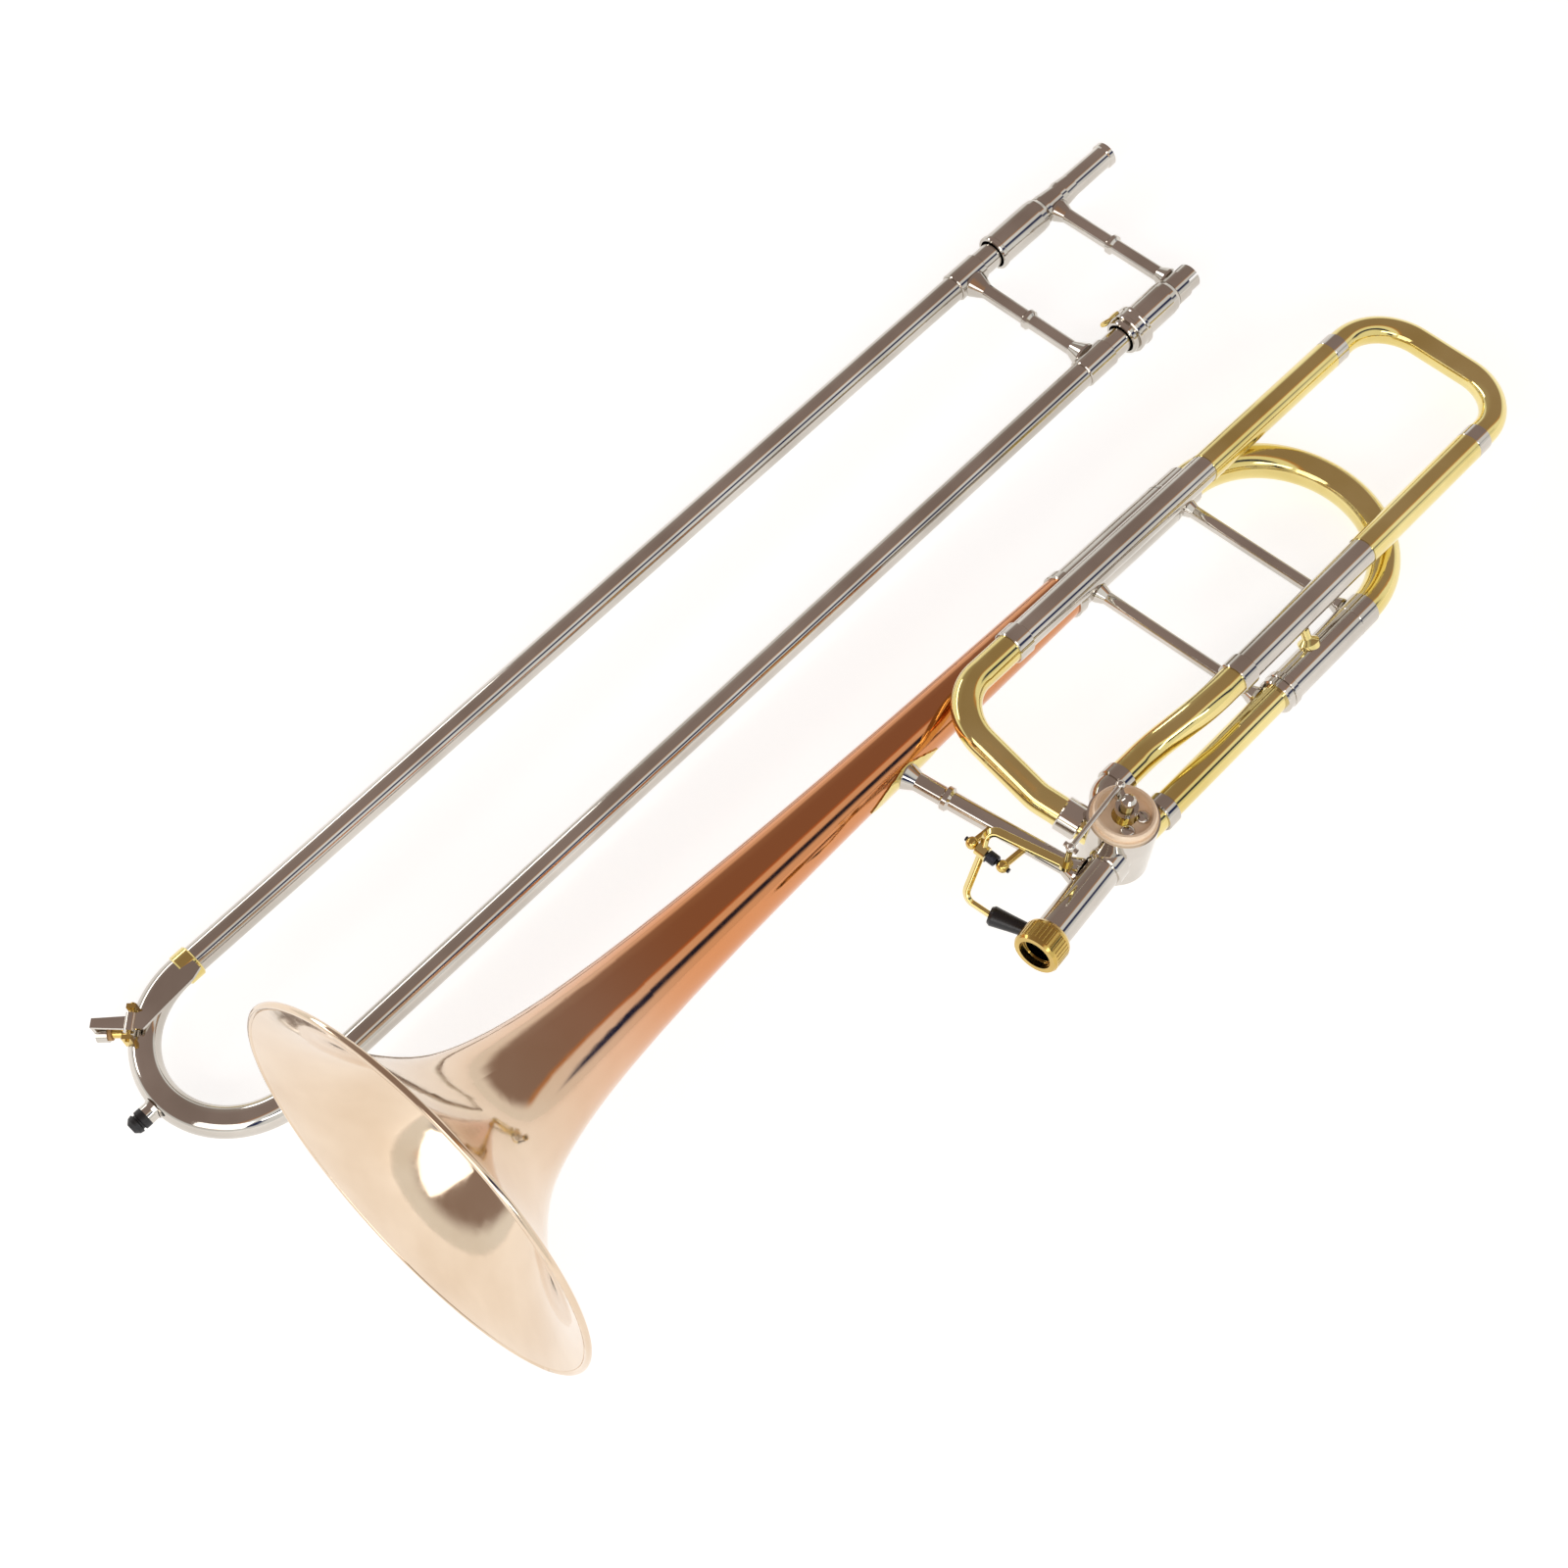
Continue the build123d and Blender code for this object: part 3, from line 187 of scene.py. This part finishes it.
def makePlainPart(name, colour, roughness, grain, depth):
    # one colour, with a fine grain that the light catches
    detail = plainDetail
    material, tree = startMaterial(name)
    place = addNode(tree, "ShaderNodeTexCoord")
    noise = addNode(tree, "ShaderNodeTexNoise",
                    inputs={"Scale": 1 / (grain * mm), "Detail": detail["noiseDetail"]},
                    links={"Vector": (place, "Object")})
    bump = addNode(tree, "ShaderNodeBump", inputs={"Strength": detail["bumpStrength"], "Distance": depth * mm},
                   links={"Height": (noise, "Fac")})
    gloss = addNode(tree, "ShaderNodeMapRange",
                    inputs={"To Min": roughness * detail["clearest"], "To Max": roughness * detail["dullest"]},
                    links={"Value": (noise, "Fac")})
    finishMaterial(tree, {"Base Color": linear(colour), "IOR": detail["ior"]},
                   {"Roughness": (gloss, "Result"), "Normal": (bump, "Normal")})
    return material


finishes = {name: makeMetal(name, **values) for name, values in metals.items()}
finishes.update({name: makePlainPart(name, **values) for name, values in plainParts.items()})
slotFinish = {
    "rose_brass": "roseBrassSpun", "yellow_brass": "yellowBrassLacquered",
    "nickel_silver": "nickelSilverPolished", "spring_steel": "springSteelBlued",
    "black_plastic": "blackAbsMoulded", "black_rubber": "blackRubberMoulded", "cork": "corkCut"}
# nodes whose making differs from the rest of their slot; the valve's front cap gets the finish with the painted
# highlight
nodeFinish = {
    "valve_front_cap": "brassPlateSatinPaintedHighlight", "coupling_nut": "brassTurned", "water_key_nipple": "brassTurned",
    "water_key_saddle": "brassTurned", "lever_posts": "brassTurned"}
for row in frame["record"]["subparts"]:
    paints = nodes[row["node"]].data.materials
    paints.clear()
    paints.append(finishes[nodeFinish.get(row["node"], slotFinish[row["material_slot"]])])
print("finishes on the CAD nodes")

# the frame's own directions: along the horn, across to the valve, and up the rotor's axle
joints = {row["name"]: row for row in frame["record"]["behaviour"]["joints"]}
along = Vector(joints["main_slide_pull"]["axis"])
across = Vector(joints["thumb_lever_press"]["axis"])
up = Vector(joints["valve_turn"]["axis"])
valveCentre = Vector(joints["valve_turn"]["pos_m"])


def cornersOf(node):
    # where a CAD node's vertices lie
    return [Vector(vertex.co) for vertex in nodes[node].data.vertices]


def middleOf(points):
    return sum(points, Vector()) / len(points)


def circle(sides, offset=0.0):
    # (cosine, sine) of evenly spaced angles, set on by a share of a step
    angles = [fullTurn * (i + offset) / sides for i in range(sides)]
    return [(math.cos(angle), math.sin(angle)) for angle in angles]


def addPiece(name, mesh, finish, body, corner=35):
    # a smooth-shaded piece in its finish that rides a body
    for face in mesh.polygons:
        face.use_smooth = True
    mesh.set_sharp_from_angle(angle=math.radians(corner))
    mesh.materials.append(finishes[finish])
    piece = bpy.data.objects.new(name, mesh)
    bpy.context.scene.collection.objects.link(piece)
    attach(piece, body)
    return piece


def meshFrom(name, bm):
    # a finished mesh with its faces turned outward
    bmesh.ops.recalc_face_normals(bm, faces=bm.faces)
    mesh = bpy.data.meshes.new(name)
    bm.to_mesh(mesh)
    bm.free()
    return mesh


def ringsMesh(name, rings, closed=False):
    # a skin over rings of points; an open run of rings gets its two ends capped
    bm = bmesh.new()
    loops = [[bm.verts.new(point) for point in ring] for ring in rings]
    pairs = list(zip(loops, loops[1:])) + ([(loops[-1], loops[0])] if closed else [])
    for near, far in pairs:
        for i in range(len(near)):
            j = (i + 1) % len(near)
            bm.faces.new((near[i], near[j], far[j], far[i]))
    if not closed:
        bm.faces.new(loops[0])
        bm.faces.new(loops[-1])
    return meshFrom(name, bm)


def latheRings(start, axis, outline, sides=64):
    # outline points are (along the axis, radius) in millimetres, and a closed one makes a ring
    side = axis.orthogonal().normalized()
    other = axis.cross(side)
    return [[start + axis * run * mm + (side * c + other * s) * radius * mm for c, s in circle(sides)]
            for run, radius in outline]


def tubeRings(points, radius, sides):
    # rings of one radius that follow a line of points without twisting
    rings = []
    normal = None
    for i, point in enumerate(points):
        ahead = (points[min(i + 1, len(points) - 1)] - points[max(i - 1, 0)]).normalized()
        normal = ahead.orthogonal() if normal is None else normal - ahead * normal.dot(ahead)
        normal.normalize()
        other = ahead.cross(normal)
        rings.append([point + (normal * c + other * s) * radius for c, s in circle(sides)])
    return rings


# lever spring: a wound wire with a short leg at each end, round the lever's axle, in millimetres
spring = {"turns": 6.5, "wireRadius": 0.42, "outsideRadius": 3.0, "leg": 1.84, "stepsPerTurn": 24, "sides": 12}
leverAxle = Vector(joints["thumb_lever_press"]["pos_m"])
wireRadius = spring["wireRadius"] * mm
coilRadius = (spring["outsideRadius"] - spring["wireRadius"]) * mm
reaches = [(corner - leverAxle).dot(across) for corner in cornersOf("lever_spring")]
first, last = min(reaches) + wireRadius, max(reaches) - wireRadius
outward = -along
upright = outward.cross(across).normalized()
steps = int(spring["turns"] * spring["stepsPerTurn"])
coil = []
for i in range(steps + 1):
    angle = fullTurn * spring["turns"] * i / steps
    coil.append(leverAxle + across * (first + (last - first) * i / steps)
                + (outward * math.cos(angle) + upright * math.sin(angle)) * coilRadius)
leg = spring["leg"] * mm
startLeg = coil[0] + (coil[0] - coil[1]).normalized() * leg
endLeg = coil[-1] + (coil[-1] - coil[-2]).normalized() * leg
wire = tubeRings([startLeg] + coil + [endLeg], wireRadius, spring["sides"])
piece = addPiece("leverSpring", ringsMesh("leverSpring", wire), "springSteelBlued", "bell_section")
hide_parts("lever_spring")
print("lever spring")

# slide lock: a nickel ring with a raised band at each end, and a brass latch tab, in millimetres
lock = {
    "bead": 0.5, "band": 2.2, "skinDepth": 1.0, "tipDepth": 0.1, "tabSides": 20, "squareness": 0.5, "tabCorner": 50,
    # the tab narrows at its waist and ends in a rolled finger lug: where each section is measured from,
    # how far on it lies, and its share of the tab's width and thickness
    "tab": [("ring", 3.2, 1.0, 0.55), ("ring", 0.4, 1.0, 0.6), ("ring", -1.0, 0.72, 0.5), ("ring", -2.6, 0.66, 0.5),
            ("ring", -3.8, 0.95, 0.7), ("tip", 2.4, 1.0, 0.95), ("tip", 0.8, 1.0, 0.95), ("tip", 0.0, 0.84, 0.6)]}
lockCentre = Vector(joints["slide_lock_turn"]["pos_m"])
lockAxis = Vector(joints["slide_lock_turn"]["axis"])


def fromLockAxis(offset):
    # the part of an offset that points straight out from the lock's axis
    return offset - lockAxis * offset.dot(lockAxis)


offsets = [corner - lockCentre for corner in cornersOf("slide_lock_ring")]
spans = [offset.dot(lockAxis) / mm for offset in offsets]
radii = [fromLockAxis(offset).length / mm for offset in offsets]
bore = min(radii)
skin = max(radius for radius, span in zip(radii, spans) if span > max(spans) - lock["skinDepth"])
ringStart = sorted({round(span, 3) for span in spans})[1]  # the first is the tab's tip
ringEnd, tabTip = max(spans), min(spans)
bead, band = lock["bead"], lock["band"]
outline = [
    (ringStart, bore), (ringStart, skin - bead), (ringStart + bead, skin), (ringStart + band, skin),
    (ringStart + band + bead, skin - bead), (ringEnd - band - bead, skin - bead),
    (ringEnd - band, skin), (ringEnd - bead, skin), (ringEnd, skin - bead), (ringEnd, bore)]
ring = ringsMesh("lockRing", latheRings(lockCentre, lockAxis, outline), closed=True)
piece = addPiece("lockRing", ring, "nickelSilverPolished", "slide_lock")
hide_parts("slide_lock_ring")

tipPoints = [offset for offset, span in zip(offsets, spans) if span < tabTip + lock["tipDepth"]]
tipFromAxis = fromLockAxis(middleOf(tipPoints))
tabRadius = tipFromAxis.length
tabOut = tipFromAxis.normalized()
tabSide = lockAxis.cross(tabOut)
halfWidth = max(abs(point.dot(tabSide)) for point in tipPoints)
halfThick = max(abs(point.dot(tabOut) - tabRadius) for point in tipPoints)
starts = {"ring": ringStart, "tip": tabTip}
section = [[math.copysign(abs(part) ** lock["squareness"], part) for part in corner]
           for corner in circle(lock["tabSides"], 0.5)]
tabRings = []
for end, run, wide, thick in lock["tab"]:
    centre = lockCentre + lockAxis * (starts[end] + run) * mm + tabOut * tabRadius
    tabRings.append([centre + tabSide * x * wide * halfWidth + tabOut * y * thick * halfThick for x, y in section])
addPiece("lockTab", ringsMesh("lockTab", tabRings), "brassTurned", "slide_lock", lock["tabCorner"])
print("slide lock")

# brass flange where the lower brace meets the bell: a thin long diamond laid on the horn, in millimetres
flange = {
    "ahead": 22.0, "behind": 27.0, "halfWidth": 12.0, "bow": 0.9, "tipShare": 0.03,
    "thickness": 0.6, "lift": 0.05, "probe": 4.0, "footDepth": 4.0, "rows": 40, "columns": 16}


def layFlange(name, node, foot, outward, body):
    # a grid over the diamond's plan, each point dropped on the horn's skin and raised by the sheet's thickness
    rows, columns = flange["rows"], flange["columns"]
    side = along.cross(outward).normalized()
    bm = bmesh.new()
    top, under = [], []
    for i in range(rows + 1):
        run = -flange["behind"] + (flange["ahead"] + flange["behind"]) * i / rows
        full = 1 + run / flange["behind"] if run < 0 else 1 - run / flange["ahead"]
        width = max(flange["tipShare"], full ** flange["bow"]) * flange["halfWidth"]
        for j in range(columns + 1):
            turn = (2 * j / columns - 1) * width
            probe = foot + along * run * mm + side * turn * mm + outward * flange["probe"] * mm
            point = nodes[node].closest_point_on_mesh(probe)[1]
            normal = (probe - point).normalized()
            under.append(bm.verts.new(point + normal * flange["lift"] * mm))
            top.append(bm.verts.new(point + normal * (flange["lift"] + flange["thickness"]) * mm))
    wide = columns + 1
    for i in range(rows):
        for a in range(i * wide, i * wide + columns):
            bm.faces.new([top[k] for k in (a, a + 1, a + wide + 1, a + wide)])
            bm.faces.new([under[k] for k in (a, a + wide, a + wide + 1, a + 1)])
    rim = list(range(columns)) + [i * wide + columns for i in range(rows)]
    rim += [rows * wide + j for j in range(columns, 0, -1)] + [i * wide for i in range(rows, 0, -1)]
    for a, b in zip(rim, rim[1:] + rim[:1]):
        bm.faces.new((top[a], top[b], under[b], under[a]))
    return addPiece(name, meshFrom(name, bm), "yellowBrassLacquered", body)


# the flange's middle is the brace's end that lies nearest the horn
brace = cornersOf("lower_brace")
nearest = min((corner - valveCentre).dot(across) for corner in brace)
footSkin = [corner for corner in brace
            if abs((corner - valveCentre).dot(across) - nearest) < flange["footDepth"] * mm]
layFlange("bellFlange", "bell_stem", middleOf(footSkin), across, "bell_section")
print("brass flange")

# valve cap screws: domed heads with a slot cut across, in millimetres and degrees
screw = {
    "radius": 3.5, "height": 2.0, "sides": 48, "corner": 30,
    # (share of the height, share of the radius) up the dome
    "dome": [(0.0, 0.2), (0.0, 1.0), (0.35, 1.0), (0.6, 0.93), (0.85, 0.72), (0.97, 0.4), (1.0, 0.05)],
    "slotWidth": 0.9, "slotDepth": 0.7, "slotTurn": 35, "bladeReach": 1.4, "bladeHeight": 3.0}


def slottedHead(name, centre, axis, turn, body):
    # the dome is turned, then a blade cuts its slot
    outline = [(rise * screw["height"], width * screw["radius"]) for rise, width in screw["dome"]]
    rings = latheRings(centre, axis, outline, screw["sides"])
    head = bpy.data.objects.new(name + "Head", ringsMesh(name + "Head", rings))
    side = Matrix.Rotation(math.radians(turn), 3, axis) @ axis.orthogonal().normalized()
    other = axis.cross(side)
    length = screw["radius"] * screw["bladeReach"] * mm
    half = screw["slotWidth"] * mm / 2
    slotFloor = centre + axis * (screw["height"] - screw["slotDepth"]) * mm
    blade = [[slotFloor + axis * height * mm + side * x * length + other * y * half
              for x, y in ((-1, -1), (1, -1), (1, 1), (-1, 1))] for height in (0, screw["bladeHeight"])]
    cutter = bpy.data.objects.new(name + "Cutter", ringsMesh(name + "Cutter", blade))
    for part in (head, cutter):
        bpy.context.scene.collection.objects.link(part)
    cut = head.modifiers.new("slot", "BOOLEAN")
    cut.operation, cut.object, cut.solver = "DIFFERENCE", cutter, "EXACT"
    bpy.context.view_layer.update()
    mesh = bpy.data.meshes.new_from_object(head.evaluated_get(bpy.context.evaluated_depsgraph_get()))
    mesh.name = name
    for part in (head, cutter):
        bpy.data.objects.remove(part, do_unlink=True)
    return addPiece(name, mesh, "nickelSilverPolished", body, screw["corner"])


# each screw stands where its CAD solid does, the two told apart by which side of the valve they lie on
heads = cornersOf("cap_screws")
ahead = [corner for corner in heads if (corner - valveCentre).dot(along) > 0]
behind = [corner for corner in heads if (corner - valveCentre).dot(along) <= 0]
for number, corners in enumerate((ahead, behind), 1):
    middle = middleOf(corners)
    seat = middle + up * min((corner - middle).dot(up) for corner in corners)
    piece = slottedHead(f"capScrew{number}", seat, up, screw["slotTurn"] * number, "bell_section")
    if number == 1:
        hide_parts("cap_screws")
print("cap screws")

camera = {
    "place": (-0.3995, -0.4779, 1.0657), "lens": 57.28, "sensorWidth": 36, "clipStart": 0.01,
    "right": (0.69484, -0.71318, -0.09261), "down": (-0.65526, -0.57477, -0.49018)}
lens = bpy.data.cameras.new("camera")
lens.lens = camera["lens"]
lens.sensor_width = camera["sensorWidth"]
lens.clip_start = camera["clipStart"]
holder = bpy.data.objects.new("camera", lens)
bpy.context.scene.collection.objects.link(holder)
# the down direction is squared to the right one, and the camera looks along its own -Z
right = Vector(camera["right"]).normalized()
down = Vector(camera["down"])
upward = -(down - right * right.dot(down)).normalized()
axes = Matrix((right, upward, right.cross(upward))).transposed().to_4x4()
holder.matrix_world = Matrix.Translation(Vector(camera["place"])) @ axes
bpy.context.scene.camera = holder

# a paper floor that glows a little, inside a tent of pale sides with a warm dark gap overhead
studio = {
    "floorSize": 12.0, "floorColour": "#BEBEBC", "floorRoughness": 0.9, "floorGlow": 0.75, "strength": 1.0,
    "sides": "#F6F6F4", "overhead": "#9A8880", "amber": "#C58F5E", "navy": "#28335E", "far": "#A89C94",
    # how high over the floor's line the sides give way to the gap, as a share of straight up
    "sidesTo": 0.12, "gapFrom": 0.30,
    # the gap's tones from the near side (0) over the top to the far side (1)
    "gap": [(0.0, "sides"), (0.10, "sides"), (0.135, "navy"), (0.175, "navy"), (0.20, "sides"),
            (0.285, "sides"), (0.32, "amber"), (0.36, "overhead"), (0.80, "overhead"), (0.97, "far")]}
bpy.context.scene.view_settings.view_transform = "Standard"
half = studio["floorSize"] / 2
floorMesh = bpy.data.meshes.new("floor")
floorMesh.from_pydata([(-half, -half, 0), (half, -half, 0), (half, half, 0), (-half, half, 0)], [], [(0, 1, 2, 3)])
floor = bpy.data.objects.new("floor", floorMesh)
bpy.context.scene.collection.objects.link(floor)
# background paper: matt and even, with the glow of light from all round
floorPaint, tree = startMaterial("paperFloor")
finishMaterial(tree, {"Base Color": linear(studio["floorColour"]), "Roughness": studio["floorRoughness"],
                      "Emission Color": linear("#FFFFFF"), "Emission Strength": studio["floorGlow"]}, {})
floorMesh.materials.append(floorPaint)

world = bpy.data.worlds.new("studio")
bpy.context.scene.world = world
world.use_nodes = True
tree = world.node_tree
tree.nodes.clear()
way = addNode(tree, "ShaderNodeTexCoord")
axes = addNode(tree, "ShaderNodeSeparateXYZ", links={"Vector": (way, "Generated")})
toFar = addNode(tree, "ShaderNodeMapRange", inputs={"From Min": -1.0, "From Max": 1.0}, links={"Value": (axes, "Y")})
gap = addNode(tree, "ShaderNodeValToRGB", links={"Fac": (toFar, "Result")})
stops = gap.color_ramp.elements
while len(stops) < len(studio["gap"]):
    stops.new(0.5)
for stop, (place, tone) in zip(stops, studio["gap"]):
    stop.position = place
    stop.color = linear(studio[tone])
rise = addNode(tree, "ShaderNodeMapRange", {"interpolation_type": "SMOOTHSTEP"},
               {"From Min": studio["sidesTo"], "From Max": studio["gapFrom"]}, {"Value": (axes, "Z")})
sky = addNode(tree, "ShaderNodeMix", {"data_type": "RGBA"}, {6: linear(studio["sides"])},
              {"Factor": (rise, "Result"), 7: (gap, "Color")})
light = addNode(tree, "ShaderNodeBackground", inputs={"Strength": studio["strength"]}, links={"Color": (sky, 2)})
addNode(tree, "ShaderNodeOutputWorld", links={"Surface": (light, "Background")})

# softboxes aimed at the middle of the floor, with sizes in metres and power in watts
lamps = {
    "softboxNear": {"place": (-0.7, -1.5, 1.15), "size": (1.3, 0.28), "power": 5.0},
    "softboxFar": {"place": (-0.5, 1.6, 0.7), "size": (1.8, 0.25), "power": 6.0},
    "softboxBell": {"place": (-1.7, -0.5, 0.9), "size": (1.2, 1.0), "power": 8.0},
}
for name, lamp in lamps.items():
    panel = bpy.data.lights.new(name, "AREA")
    panel.shape = "RECTANGLE"
    panel.size, panel.size_y = lamp["size"]
    panel.energy = lamp["power"]
    panel.color = linear("#FFFFFF")[:3]
    box = bpy.data.objects.new(name, panel)
    bpy.context.scene.collection.objects.link(box)
    box.location = lamp["place"]
    box.rotation_euler = (-Vector(lamp["place"])).to_track_quat("-Z", "Y").to_euler()
print("camera, floor and light")
